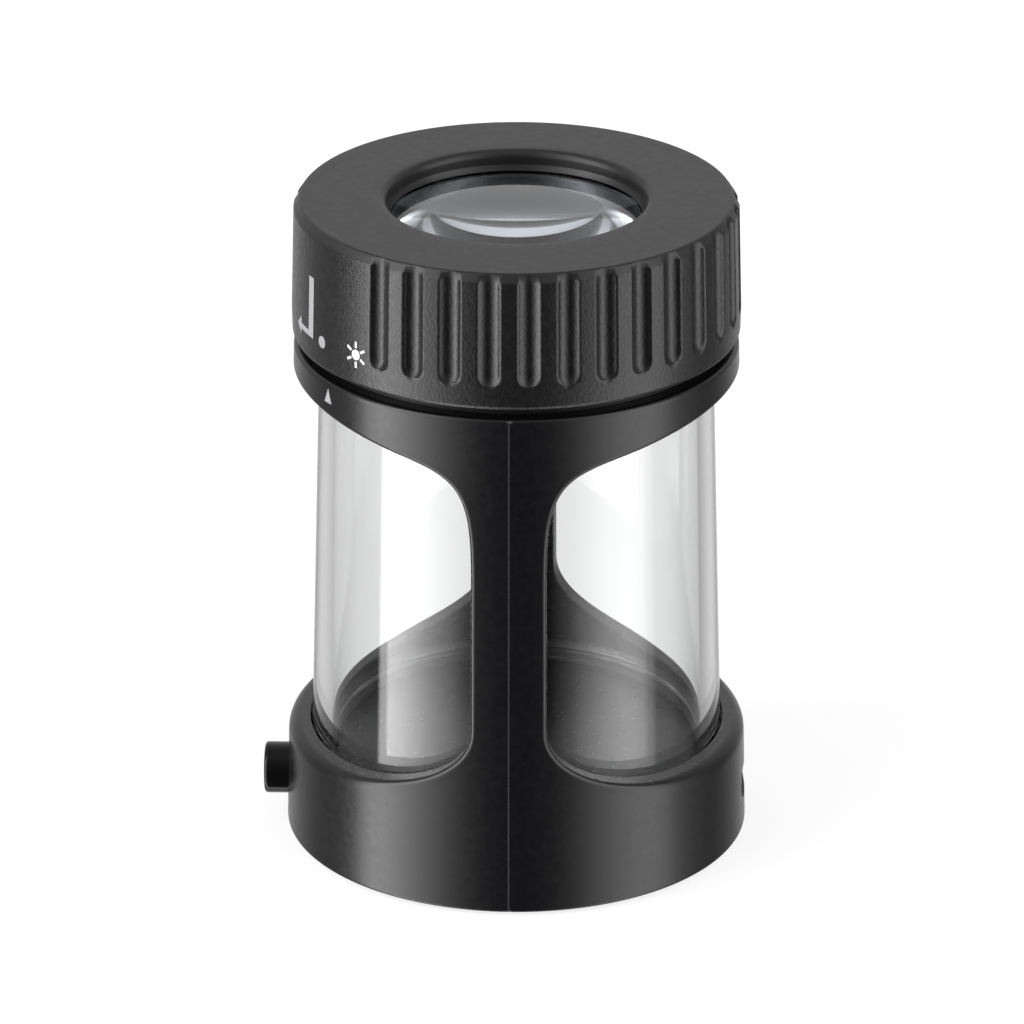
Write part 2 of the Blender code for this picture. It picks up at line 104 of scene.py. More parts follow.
def rounded(corners, steps=5, support=0.12):
    """corners: (r, z, fillet radius) of a closed outline. Returns the outline with its corners turned into arcs."""
    out = []
    n = len(corners)
    for i in range(n):
        p0 = np.array(corners[i - 1][:2], float)
        p1 = np.array(corners[i][:2], float)
        p2 = np.array(corners[(i + 1) % n][:2], float)
        rad = corners[i][2]
        if rad <= 0:
            out.append(p1)
            continue
        a, b = p0 - p1, p2 - p1
        la, lb = np.linalg.norm(a), np.linalg.norm(b)
        a, b = a / la, b / lb
        half = math.acos(max(-1, min(1, float(a @ b)))) / 2
        cut = min(rad / math.tan(half), 0.49 * la, 0.49 * lb)
        rad = cut * math.tan(half)
        centre = p1 + (a + b) / np.linalg.norm(a + b) * (rad / math.sin(half))
        t1, t2 = p1 + a * cut, p1 + b * cut
        if la > cut + 3 * support:
            out.append(t1 + a * support)
        v1, v2 = t1 - centre, t2 - centre
        a1, a2 = math.atan2(v1[1], v1[0]), math.atan2(v2[1], v2[0])
        d = (a2 - a1 + math.pi) % (2 * math.pi) - math.pi
        for k in range(steps + 1):
            t = a1 + d * k / steps
            out.append(centre + rad * np.array([math.cos(t), math.sin(t)]))
        if lb > cut + 3 * support:
            out.append(t2 + b * support)
    return np.array(out)


def densify(outline, longest, closed=True):
    out = []
    n = len(outline)
    for i in range(n if closed else n - 1):
        p, q = outline[i], outline[(i + 1) % n]
        k = max(1, int(math.ceil(np.linalg.norm(q - p) / longest)))
        for j in range(k):
            out.append(p + (q - p) * j / k)
    if not closed:
        out.append(outline[-1])
    return np.array(out)


def ring(name, corners, mat, segments=256, steps=5, longest=3.0, support=0.12, smooth=True):
    """A closed outline of (r, z, fillet) turned about the jar's axis."""
    line = densify(rounded(corners, steps, support), longest)
    angles = np.arange(segments) * 360.0 / segments
    pts = np.stack([around(angles, r, z) for r, z in line])
    faces = grid_faces(len(line), segments, True, True)
    return outward(object_from(name, pts.reshape(-1, 3), faces, mat, smooth))


def solid_turn(name, corners, mat, segments=256, steps=5, longest=3.0, support=0.12):
    """An open outline of (r, z, fillet) whose two ends lie on the axis."""
    inner = [c for c in corners]
    fake = [(-inner[0][0] - 5, inner[0][1], 0)] + inner + [(-5, inner[-1][1], 0)]
    line = rounded(fake, steps, support)[1:-1]
    line = densify(line, longest, closed=False)
    angles = np.arange(segments) * 360.0 / segments
    body = line[1:-1]
    pts = np.stack([around(angles, r, z) for r, z in body]).reshape(-1, 3)
    top, bottom = (0, 0, line[0][1]), (0, 0, line[-1][1])
    faces = grid_faces(len(body), segments, False, True).tolist()
    a, b = len(pts), len(pts) + 1
    last = (len(body) - 1) * segments
    for j in range(segments):
        k = (j + 1) % segments
        faces.append([a, k, j])
        faces.append([b, last + j, last + k])
    return outward(object_from(name, np.vstack([pts, [top], [bottom]]), faces, mat))


def cut(obj, *cutters):
    """Exact difference, then the cutters are removed."""
    for c in cutters:
        m = obj.modifiers.new("cut", "BOOLEAN")
        m.operation, m.solver, m.object = "DIFFERENCE", "EXACT", c
    graph = bpy.context.evaluated_depsgraph_get()
    mesh = bpy.data.meshes.new_from_object(obj.evaluated_get(graph))
    obj.modifiers.clear()
    obj.data = mesh
    for c in cutters:
        bpy.data.objects.remove(c, do_unlink=True)
    return obj


def soften(obj, width, segments=3, angle=30.0):
    """Bevels the sharp edges and keeps the mesh."""
    b = obj.modifiers.new("edge", "BEVEL")
    b.width, b.segments = width * MM, segments
    b.limit_method, b.angle_limit = "ANGLE", math.radians(angle)
    b.harden_normals = True
    graph = bpy.context.evaluated_depsgraph_get()
    mesh = bpy.data.meshes.new_from_object(obj.evaluated_get(graph))
    obj.modifiers.clear()
    obj.data = mesh
    return obj


def block(name, low, high, mat, rounding=0.0, segments=3):
    bm = bmesh.new()
    bmesh.ops.create_cube(bm, size=1.0)
    for v in bm.verts:
        v.co = Vector([(low[i] + (v.co[i] + 0.5) * (high[i] - low[i])) * MM for i in range(3)])
    mesh = bpy.data.meshes.new(name)
    bm.to_mesh(mesh)
    bm.free()
    mesh.materials.append(mat)
    mesh.shade_smooth()
    obj = bpy.data.objects.new(name, mesh)
    bpy.context.scene.collection.objects.link(obj)
    if rounding:
        soften(obj, rounding, segments)
    else:
        mesh.set_sharp_from_angle(angle=math.radians(30))
    return obj


def rod_mesh(name, radius, start, end, mat, segments=48):
    a, b = Vector(start) * MM, Vector(end) * MM
    bm = bmesh.new()
    bmesh.ops.create_cone(bm, cap_ends=True, segments=segments, radius1=radius * MM,
                          radius2=radius * MM, depth=(b - a).length)
    turn = (b - a).to_track_quat("Z", "Y").to_matrix().to_4x4()
    bmesh.ops.transform(bm, matrix=Matrix.Translation((a + b) / 2) @ turn, verts=bm.verts)
    mesh = bpy.data.meshes.new(name)
    bm.to_mesh(mesh)
    bm.free()
    if mat:
        mesh.materials.append(mat)
    mesh.shade_smooth()
    mesh.set_sharp_from_angle(angle=math.radians(30))
    obj = bpy.data.objects.new(name, mesh)
    bpy.context.scene.collection.objects.link(obj)
    return obj


def bent_block(name, r_in, r_out, z_low, z_high, a0, a1, mat, cuts=12, rounding=0.0):
    bm = bmesh.new()
    bmesh.ops.create_cube(bm, size=1.0)
    along = [e for e in bm.edges if abs(e.verts[0].co.x - e.verts[1].co.x) > 0.5]
    bmesh.ops.subdivide_edges(bm, edges=along, cuts=cuts, use_grid_fill=True)
    for v in bm.verts:
        p = around(a0 + (v.co.x + 0.5) * (a1 - a0), r_in + (v.co.y + 0.5) * (r_out - r_in),
                   z_low + (v.co.z + 0.5) * (z_high - z_low))
        v.co = Vector(p.tolist()) * MM
    bmesh.ops.reverse_faces(bm, faces=bm.faces)
    mesh = bpy.data.meshes.new(name)
    bm.to_mesh(mesh)
    bm.free()
    if mat:
        mesh.materials.append(mat)
    mesh.shade_smooth()
    mesh.set_sharp_from_angle(angle=math.radians(30))
    obj = bpy.data.objects.new(name, mesh)
    bpy.context.scene.collection.objects.link(obj)
    if rounding:
        soften(obj, rounding, 3)
    return obj


# ---------------------------------------------------------------- materials
def new_material(name):
    mat = bpy.data.materials.new(name)
    mat.use_nodes = True
    nt = mat.node_tree
    return mat, nt, nt.nodes["Principled BSDF"]


def node(nt, kind, **values):
    n = nt.nodes.new(kind)
    for key, value in values.items():
        if hasattr(n, key):
            setattr(n, key, value)
        else:
            n.inputs[key.replace("_", " ")].default_value = value
    return n


def noise(nt, scale, detail=4.0, rough=0.55, vector=None):
    n = nt.nodes.new("ShaderNodeTexNoise")
    n.inputs["Scale"].default_value = scale
    n.inputs["Detail"].default_value = detail
    n.inputs["Roughness"].default_value = rough
    if vector is None:
        c = nt.nodes.new("ShaderNodeTexCoord")
        vector = c.outputs["Object"]
    nt.links.new(vector, n.inputs["Vector"])
    return n


def remap(nt, socket, a, b, lo=0.0, hi=1.0):
    m = nt.nodes.new("ShaderNodeMapRange")
    m.inputs["From Min"].default_value, m.inputs["From Max"].default_value = lo, hi
    m.inputs["To Min"].default_value, m.inputs["To Max"].default_value = a, b
    nt.links.new(socket, m.inputs["Value"])
    return m.outputs["Result"]


def tone(nt, socket, dark, light):
    m = nt.nodes.new("ShaderNodeMix")
    m.data_type = "RGBA"
    nt.links.new(socket, m.inputs["Factor"])
    m.inputs[6].default_value = (*dark, 1)
    m.inputs[7].default_value = (*light, 1)
    return m.outputs[2]


def moulded(name, dark, light, rough, spread, grain, grain_depth, ior=1.5, fine=None, fine_depth=0.0,
            mottled=180.0):
    """Moulded plastic or rubber: mottled colour, uneven gloss and the grain left by the mould."""
    mat, nt, bsdf = new_material(name)
    wide = noise(nt, mottled, 3.0)
    nt.links.new(tone(nt, wide.outputs["Fac"], dark, light), bsdf.inputs["Base Color"])
    cloud = noise(nt, 900.0, 4.0)
    nt.links.new(remap(nt, cloud.outputs["Fac"], rough - spread, rough + spread, 0.3, 0.7),
                 bsdf.inputs["Roughness"])
    bsdf.inputs["IOR"].default_value = ior
    texture = noise(nt, grain, 3.0, 0.6)
    bump = nt.nodes.new("ShaderNodeBump")
    bump.inputs["Strength"].default_value = 1.0
    bump.inputs["Distance"].default_value = grain_depth
    nt.links.new(texture.outputs["Fac"], bump.inputs["Height"])
    last = bump
    if fine:
        texture2 = noise(nt, fine, 2.0, 0.5)
        bump2 = nt.nodes.new("ShaderNodeBump")
        bump2.inputs["Distance"].default_value = fine_depth
        nt.links.new(texture2.outputs["Fac"], bump2.inputs["Height"])
        nt.links.new(bump.outputs["Normal"], bump2.inputs["Normal"])
        last = bump2
    nt.links.new(last.outputs["Normal"], bsdf.inputs["Normal"])
    return mat


def clear(name, tint, ior, rough=0.0, haze=0.0):
    """Clear moulded plastic with the faint haze and hairlines of handling."""
    mat, nt, bsdf = new_material(name)
    bsdf.inputs["Transmission Weight"].default_value = 1.0
    bsdf.inputs["IOR"].default_value = ior
    bsdf.inputs["Base Color"].default_value = (*tint, 1)
    coords = nt.nodes.new("ShaderNodeTexCoord")
    stretch = nt.nodes.new("ShaderNodeMapping")
    stretch.inputs["Scale"].default_value = (1.0, 1.0, 0.12)
    nt.links.new(coords.outputs["Object"], stretch.inputs["Vector"])
    lines = noise(nt, 700.0, 5.0, 0.7, stretch.outputs["Vector"])
    nt.links.new(remap(nt, lines.outputs["Fac"], rough, rough + haze, 0.55, 0.8),
                 bsdf.inputs["Roughness"])
    return mat


def metal(name, colour, rough, spread, scale=(1, 1, 1), grain=1500.0):
    mat, nt, bsdf = new_material(name)
    bsdf.inputs["Metallic"].default_value = 1.0
    coords = nt.nodes.new("ShaderNodeTexCoord")
    stretch = nt.nodes.new("ShaderNodeMapping")
    stretch.inputs["Scale"].default_value = scale
    nt.links.new(coords.outputs["Object"], stretch.inputs["Vector"])
    brushed = noise(nt, grain, 3.0, 0.6, stretch.outputs["Vector"])
    dark = tuple(0.85 * c for c in colour)
    nt.links.new(tone(nt, brushed.outputs["Fac"], dark, colour), bsdf.inputs["Base Color"])
    nt.links.new(remap(nt, brushed.outputs["Fac"], rough - spread, rough + spread, 0.3, 0.7),
                 bsdf.inputs["Roughness"])
    bump = nt.nodes.new("ShaderNodeBump")
    bump.inputs["Distance"].default_value = 0.000004
    nt.links.new(brushed.outputs["Fac"], bump.inputs["Height"])
    nt.links.new(bump.outputs["Normal"], bsdf.inputs["Normal"])
    return mat


CAGE = moulded("satin_black_cage", (0.0020, 0.0020, 0.0028), (0.0032, 0.0032, 0.0042), 0.29, 0.03,
               3200.0, 0.0000030, 1.5, 9000.0, 0.0000006)
LID_SIDE = moulded("grained_black_lid_side", (0.0035, 0.0035, 0.0038), (0.0065, 0.0065, 0.007), 0.31, 0.05,
                   2300.0, 0.000050, 1.5, 6000.0, 0.000010)
LID_FACE = moulded("fine_black_lid_top", (0.007, 0.007, 0.007), (0.010, 0.010, 0.010), 0.40, 0.03,
                   5200.0, 0.0000050, 1.5, 12000.0, 0.0000015)
INNER = moulded("inner_black", (0.005, 0.005, 0.006), (0.008, 0.008, 0.009), 0.3, 0.04, 4000.0, 0.000003)
FLOOR = moulded("matte_black_floor", (0.004, 0.004, 0.0045), (0.007, 0.007, 0.0075), 0.3, 0.04, 1600.0, 0.0000020)
FLOOR.node_tree.nodes["Principled BSDF"].inputs["Specular IOR Level"].default_value = 0.22
GLOSS = moulded("gloss_black_button", (0.003, 0.003, 0.0035), (0.0045, 0.0045, 0.005), 0.12, 0.03,
                2500.0, 0.0000012, 1.5)
GLOSS.node_tree.nodes["Principled BSDF"].inputs["Specular IOR Level"].default_value = 0.3
RUBBER = moulded("seal_rubber", (0.010, 0.010, 0.010), (0.018, 0.018, 0.018), 0.62, 0.06, 2600.0, 0.00002)
FOOT = moulded("foot_rubber", (0.012, 0.012, 0.012), (0.022, 0.022, 0.022), 0.75, 0.06, 1800.0, 0.00004)
PRINT_GREY = moulded("grey_print", (0.28, 0.28, 0.29), (0.34, 0.34, 0.35), 0.45, 0.06, 4500.0, 0.000003)
PRINT = moulded("white_print", (0.72, 0.72, 0.73), (0.82, 0.82, 0.83), 0.45, 0.06, 4500.0, 0.000003)
ACRYLIC = clear("clear_sleeve_plastic", (0.985, 0.987, 0.99), 1.49, 0.0, 0.03)
LENS = clear("clear_lens_plastic", (0.84, 0.89, 0.95), 1.5, 0.0, 0.0)
FROST = moulded("frosted_window", (0.78, 0.79, 0.79), (0.86, 0.87, 0.87), 0.45, 0.05, 5000.0, 0.00001)
FROST.node_tree.nodes["Principled BSDF"].inputs["Transmission Weight"].default_value = 0.55
STEEL = metal("screw_steel", (0.55, 0.55, 0.56), 0.3, 0.08)
SOCKET = metal("socket_steel", (0.62, 0.62, 0.63), 0.26, 0.08, (0.15, 1, 1))
BRASS = metal("plated_brass", (0.82, 0.62, 0.3), 0.28, 0.06)
FOIL = metal("battery_foil", (0.55, 0.55, 0.57), 0.35, 0.08, (1, 1, 1), 400.0)
BOARD = moulded("board_green", (0.008, 0.07, 0.03), (0.012, 0.11, 0.05), 0.35, 0.06, 1500.0, 0.000005)
WHITE_BOARD = moulded("led_board_white", (0.7, 0.7, 0.7), (0.8, 0.8, 0.8), 0.45, 0.05, 1500.0, 0.000005)
PHOSPHOR = moulded("led_phosphor", (0.78, 0.6, 0.15), (0.88, 0.72, 0.25), 0.35, 0.05, 3000.0, 0.000005)
RED_WIRE = moulded("wire_red", (0.14, 0.006, 0.006), (0.18, 0.01, 0.01),0.35, 0.05, 2500.0, 0.000004)
BLACK_WIRE = moulded("wire_black", (0.008, 0.008, 0.008), (0.014, 0.014, 0.014), 0.35, 0.05, 2500.0, 0.000004)


# ---------------------------------------------------------------- the cage
def post_distance(angle):
    from_post = np.abs((angle + 90.0) % 180.0 - 90.0)
    return np.clip(from_post - POST_HALF, 0.0, WINDOW_SPAN)


def corner(distance, width, height, power):
    u = np.minimum(distance / width, 1.0)
    return height * (1.0 - u ** (1.0 / power)) ** power


def window_top(d):
    return 69.0 - 5.2 * (1 - d / WINDOW_SPAN) ** 2 - corner(d, 20.8, 16.4, 2.64)


def side_share(from_middle):
    """1 at the middle of a window's width, easing to 0 before its corners."""
    t = np.clip((62.0 - from_middle) / 44.0, 0.0, 1.0)
    return t * t * (3 - 2 * t)


def window_low(d):
    rim = 16.44 + 0.22 * (1 - d / WINDOW_SPAN) ** 2 + corner(d, 41.6, 10.12, 1.81)
    return rim - 0.5 * side_share(90.0 - POST_HALF - d)


def window_outline(count):
    """(angle from the front post, z) round one window, evenly spaced along the wall."""
    d = WINDOW_SPAN * np.linspace(0, 1, 1500) ** 3
    top = np.stack([POST_HALF + d, window_top(d)], 1)
    low = np.stack([POST_HALF + d, window_low(d)], 1)
    mirror = lambda c: np.stack([180.0 - c[:, 0], c[:, 1]], 1)
    loop = np.vstack([low[::-1], top, mirror(top)[::-1][1:], mirror(low)[:-1]])
    k = math.radians(1) * 31.4
    step = np.hypot(*(np.diff(np.vstack([loop, loop[:1]]), axis=0) * [k, 1]).T)
    at = np.concatenate([[0], np.cumsum(step)])
    closed = np.vstack([loop, loop[:1]])
    want = np.arange(count) * at[-1] / count
    pts = np.stack([np.interp(want, at, closed[:, i]) for i in (0, 1)], 1)
    for _ in range(2):  # eases the kinks where the outline's pieces meet
        pts = (np.roll(pts, 1, 0) + 2 * pts + np.roll(pts, -1, 0)) / 4
    return pts


def cage_half(side, count=560, fillet=0.65, lip=0.6, foot=0.45, seam=0.09):
    """Rings that run from the window's edge out to the collar, seam and foot, and back along the inside."""
    k = math.radians(1) * 31.4
    w = window_outline(count)
    flat = w * [k, 1]
    tangent = np.roll(flat, -1, 0) - np.roll(flat, 1, 0)
    tangent /= np.linalg.norm(tangent, axis=1)[:, None]
    normal = np.stack([tangent[:, 1], -tangent[:, 0]], 1)
    centre = np.array([90.0, 42.0])
    if np.sum(normal * (flat - centre * [k, 1])) < 0:
        normal = -normal
    a_edge = math.degrees(0.006 / 31.0)
    low, high = np.array([a_edge, CAGE_BOTTOM]), np.array([180 - a_edge, CAGE_TOP])
    direction = w - centre
    # where each ray from the window's middle meets the half's edges
    reach = np.where(direction > 0, high - centre, low - centre)
    steps = reach / np.where(np.abs(direction) < 1e-6, 1e-6, direction)
    edge = centre + direction * np.min(np.abs(steps), axis=1)[:, None]
    corners = []
    for ca in (low[0], high[0]):
        for cz in (low[1], high[1]):
            i = int(np.argmin(np.hypot((edge[:, 0] - ca) * k, edge[:, 1] - cz)))
            edge[i] = (ca, cz)
            corners.append(i)
    # evens out the spacing between the corners
    corners.sort()
    for i, j in zip(corners, corners[1:] + [corners[0] + count]):
        n = j - i
        p, q = edge[i % count].copy(), edge[j % count].copy()
        raw = np.array([edge[(i + m) % count] for m in range(n + 1)])
        even = p + (q - p) * (np.arange(n + 1) / n)[:, None]
        for m in range(n + 1):
            edge[(i + m) % count] = 0.5 * raw[m] + 0.5 * even[m] if 0 < m < n else raw[m]

    def drop(dist, f):
        x = np.clip(f - dist, 0, f)
        return f - np.sqrt(np.maximum(f * f - x * x, 0))

    def outer_radius(p):
        a, z = p[:, 0], p[:, 1]
        s = np.minimum(a - low[0], high[0] - a) * k
        return cage_r(z) - drop(high[1] - z, lip) - drop(z - low[1], foot) - drop(s, seam)

    def inner_radius(p):
        z = p[:, 1]
        r = sleeve_r(z) + 0.25
        r = np.where(z > 69.5, 28.7, r)
        return np.where(z < 13.2, 29.3, r)

    def inset(t):
        """The half's edge moved in by the part of each fillet that is left at t, 0 to 1."""
        c = 1 - math.cos(t * math.pi / 2)
        p = edge.copy()
        p[:, 0] = np.clip(p[:, 0], low[0] + seam * c / k, high[0] - seam * c / k)
        p[:, 1] = np.clip(p[:, 1], low[1] + foot * c, high[1] - lip * c)
        return p

    rows = []

    def add(p, r):
        rows.append(around(p[:, 0], r, p[:, 1]))

    # window wall and its outer fillet
    def at_offset(o):
        return (flat + normal * (np.zeros(count) + o)[:, None]) / [k, 1]

    # the low edge's round widens towards the middle of the window
    wide = np.where(w[:, 1] < 35.0, side_share(np.abs(w[:, 0] - 90.0)), 0.0)
    round_in, round_along = fillet + 0.95 * wide, fillet + 1.5 * wide

    inner_round = 0.25
    wall_in = inner_radius(w)
    for t in np.linspace(0, 1, 4):  # small round on the inner edge
        o = inner_round * (1 - math.sin(t * math.pi / 2))
        add(at_offset(o), wall_in + inner_round * (1 - math.cos(t * math.pi / 2)))
    top_r = cage_r(w[:, 1])
    add(w, wall_in + inner_round + 0.15)
    add(w, (wall_in + inner_round + top_r - round_in) / 2)
    add(w, top_r - round_in - 0.08)
    for t in np.linspace(0, 1, 10):
        p = at_offset(round_along * (1 - math.cos(t * math.pi / 2)))
        add(p, cage_r(p[:, 1]) - round_in * (1 - math.sin(t * math.pi / 2)))
    start = at_offset(round_along + 0.15)
    add(start, outer_radius(start))
    end = inset(1.0)
    out = end.copy()
    out[:, 0] = np.clip(out[:, 0], low[0] + (seam + 0.12) / k, high[0] - (seam + 0.12) / k)
    out[:, 1] = np.clip(out[:, 1], low[1] + foot + 0.15, high[1] - lip - 0.15)
    for t in np.linspace(0, 1, 14)[1:]:
        p = start + (out - start) * t
        add(p, outer_radius(p))
    for t in np.linspace(1, 0, 7):
        p = inset(t)
        add(p, outer_radius(p))
    # edge faces, then the inside
    p = inset(0.0)
    near = outer_radius(p)
    far = inner_radius(p)
    add(p, near - 0.15)
    add(p, (near + far) / 2)
    add(p, far + 0.15)
    add(p, far)
    back = at_offset(inner_round + 0.15)
    for t in np.linspace(0, 1, 10):
        q = p + (back - p) * (t if t > 0 else 0.012)
        add(q, inner_radius(q))
    pts = np.stack(rows)
    if side < 0:
        pts = pts * [-1, 1, 1]
    obj = object_from(f"cage_{'right' if side > 0 else 'left'}", pts.reshape(-1, 3),
                      grid_faces(len(rows), count, True, True), CAGE)
    return outward(obj)


def stadium(name, x0, x1, width, height, z, mat=None, n=20):
    """A slot-shaped bar along X, to cut with."""
    pts = []
    half = (width - height) / 2
    for s in (1, -1):
        for k in range(n + 1):
            t = math.pi * (k / n) - math.pi / 2
            pts.append((s * (half + height / 2 * math.cos(t)), z + s * height / 2 * math.sin(t)))
    m = len(pts)
    verts = [(x0, y, zz) for y, zz in pts] + [(x1, y, zz) for y, zz in pts]
    faces = [list(range(m))[::-1], list(range(m, 2 * m))]
    faces += [[i, (i + 1) % m, m + (i + 1) % m, m + i] for i in range(m)]
    obj = object_from(name, verts, faces, mat or CAGE, smooth=False)
    return outward(obj)


right = cage_half(1)
left = cage_half(-1)
cut(right, stadium("cut_port", 27.5, 36, PORT_W, PORT_H, PORT_Z))
cut(left, rod_mesh("cut_button", BUTTON_R + 0.3, (-37, 0, BUTTON_Z), (-27.5, 0, BUTTON_Z), None, 96))
for piece, nodename in ((left, "cage_half_left"), (right, "cage_half_right")):
    piece.data.shade_smooth()
    piece.data.set_sharp_from_angle(angle=math.radians(50))
    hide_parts(nodename)
    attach(piece, "cage")

# ---------------------------------------------------------------- sleeve, seals and floor
sleeve = ring("clear_sleeve_wall", [
    (sleeve_r(SLEEVE_TOP), SLEEVE_TOP, 0.5), (sleeve_r(SLEEVE_BOTTOM), SLEEVE_BOTTOM, 0.4),
    (sleeve_r(SLEEVE_BOTTOM) - 2.7, SLEEVE_BOTTOM, 0.4), (sleeve_r(SLEEVE_TOP) - 2.2, SLEEVE_TOP, 0.5),
], ACRYLIC, segments=360, longest=4.0)
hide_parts("clear_sleeve")
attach(sleeve, "cage")

floor_disc = solid_turn("jar_floor", [
    (0, 12.0, 0), (29.0, 12.0, 0.3), (29.0, 10.6, 0.3), (0, 10.6, 0),
], FLOOR, segments=256, longest=4.0)
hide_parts("base_deck")
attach(floor_disc, "cage")

low_seal = ring("sleeve_foot_seal", [(28.6, 13.15, 0.2), (28.6, 12.3, 0.25), (25.75, 12.3, 0.25), (25.75, 13.15, 0.2)],
                RUBBER, 192)
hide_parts("sleeve_bottom_seal")
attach(low_seal, "cage")
top_seal = ring("sleeve_head_seal", [(27.0, 71.1, 0.2), (27.0, 70.5, 0.2), (25.4, 70.5, 0.2), (25.4, 71.1, 0.2)],
                RUBBER, 192)
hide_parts("sleeve_top_seal")
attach(top_seal, "cage")

# ---------------------------------------------------------------- bayonet neck
neck = ring("neck_ring", [
    (28.4, 82.0, 0.45), (28.4, 70.3, 0.1), (29.2, 70.3, 0.15), (29.2, 69.3, 0.15), (27.5, 69.3, 0.1),
    (27.5, 71.4, 0.1), (25.4, 71.4, 0.2), (25.4, 82.0, 0.45),
], LID_FACE, segments=288, longest=3.0)
cuts = []
for c in (0, 120, 240):
    start = c - 5.9
    cuts.append(bent_block(f"cut_channel_{c}", 27.3, 32, 76.1, 90, start, c + 2.4 + 5.9, None, 24))
    cuts.append(bent_block(f"cut_leg_{c}", 27.3, 32, 76.1, 78.75, c - 11.8 - 5.9, c + 2.0, None, 30))
cuts.append(block("cut_groove", (-1.3, 26.6, 60), (1.3, 31, 90), CAGE))
cut(neck, *cuts)
neck.data.shade_smooth()
neck.data.set_sharp_from_angle(angle=math.radians(35))
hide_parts("bayonet_neck")
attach(neck, "cage")
for pole, a_from, a_to in (("positive", 173.0, 178.8), ("negative", 181.2, 187.0)):
    pad = bent_block(f"neck_pad_{pole}", 26.8, 28.1, 81.8, 82.9, a_from, a_to, BRASS, 8, 0.12)
    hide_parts(f"neck_contact_{pole}")
    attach(pad, "cage")

# ---------------------------------------------------------------- base underside
cover = ring("base_cover", [
    (29.0, 2.6, 0.2), (29.0, 0.6, 0.35), (22.4, 0.6, 0.3), (22.4, 1.5, 0.1), (4.0, 1.5, 0.1), (4.0, 2.6, 0.1),
], INNER, segments=256, longest=3.0)
holes = []
for a in (45, 135, 225, 315):
    x, y, _ = around(a, 25.6, 0.0)
    holes.append(rod_mesh(f"cut_head_{a}", 2.5, (x, y, -1), (x, y, 1.75), None, 64))
    holes.append(rod_mesh(f"cut_shank_{a}", 1.5, (x, y, 1), (x, y, 4), None, 48))
cut(cover, *holes)
cover.data.shade_smooth()
cover.data.set_sharp_from_angle(angle=math.radians(35))
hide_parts("bottom_cover")
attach(cover, "cage")

foot_line = [(0, 1.2, 0), (22.0, 1.2, 0.2), (22.0, 0.0, 0.35)]
for r in np.arange(20.4, 4.0, -1.6):  # fine rings moulded in the pad's underside
    foot_line += [(r + 0.25, 0.0, 0.06), (r + 0.1, 0.22, 0.06), (r - 0.1, 0.22, 0.06), (r - 0.25, 0.0, 0.06)]
foot_line.append((0, 0.0, 0))
foot = solid_turn("foot_disc", foot_line, FOOT, segments=192, steps=3, longest=4.0, support=0.05)
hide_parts("foot_pad")
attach(foot, "cage")

# ---------------------------------------------------------------- power button
def along_x(name, outline, mat, segments=96):
    """(distance along -X, radius) profile turned about the button's axis. Both ends are closed."""
    line = np.array(outline)
    t = np.arange(segments) * 2 * np.pi / segments
    pts = np.stack([np.stack([-s + 0 * t, r * np.cos(t), BUTTON_Z + r * np.sin(t)], -1) for s, r in line])
    n = len(line)
    faces = grid_faces(n, segments, False, True).tolist()
    faces.append(list(range(segments))[::-1])
    faces.append(list(range((n - 1) * segments, n * segments)))
    return outward(object_from(name, pts.reshape(-1, 3), faces, mat))


fillet_r = 0.5
arc = [(BUTTON_TIP - 0.12 - fillet_r * (1 - math.sin(t)), BUTTON_R - fillet_r * (1 - math.cos(t)))
       for t in np.linspace(0, math.pi / 2, 8)]
dome = [(BUTTON_TIP - 0.12 + 0.12 * (1 - (r / 3.15) ** 2), r) for r in (2.9, 2.4, 1.8, 1.2, 0.6, 0.15)]
button = along_x("button_cap", [(29.95, BUTTON_R - 0.1), (30.05, BUTTON_R), (30.6, BUTTON_R), (33.0, BUTTON_R),
                                (BUTTON_TIP - 0.12 - fillet_r - 0.12, BUTTON_R)] + arc + dome, GLOSS)
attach(button, "button")
stem = along_x("button_stem", [(25.2, 1.4), (25.3, 1.5), (27.5, 1.5), (27.55, 3.0), (28.4, 3.1), (29.94, 3.1)], INNER, 48)
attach(stem, "button")
ears = block("button_ears", (-28.5, -4.7, 3.4), (-27.56, 4.7, 9.6), INNER, 0.2)
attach(ears, "button")
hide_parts("power_button")

# ---------------------------------------------------------------- lid
def lid_outline():
    """Top, outer wall and underside of the lid cap as (r, z), with the opening's rim as a second outline."""
    corners = [
        (18.9, LID_TOP, 0.0), (29.66, LID_TOP, 0.45), (30.52, 92.35, 0.5), (30.92, 78.0, 3.0),
        (30.86, 74.95, 0.35), (30.55, LID_BOTTOM, 0.3), (LID_BORE, LID_BOTTOM, 0.35), (LID_BORE, 91.4, 0.3),
        (21.5, 91.4, 0.3), (21.5, 84.6, 0.3), (19.7, 84.6, 0.25), (19.7, 90.9, 0.1), (17.3, 90.76, 0.05),
        (17.3, 90.88, 0.06), (17.5, 91.15, 0.15), (OPENING_R, 91.6, 0.2), (OPENING_R, 92.5, 0.0),
    ]
    n = len(corners)
    line = rounded(corners, 6, 0.12)
    # the opening's rim is a wide round
    rim = [(OPENING_R + 1.15 * (1 - math.cos(t)), LID_TOP - 1.12 * (1 - math.sin(t)))
           for t in np.linspace(0, math.pi / 2, 10)[1:-1]]
    return line, np.array(rim)


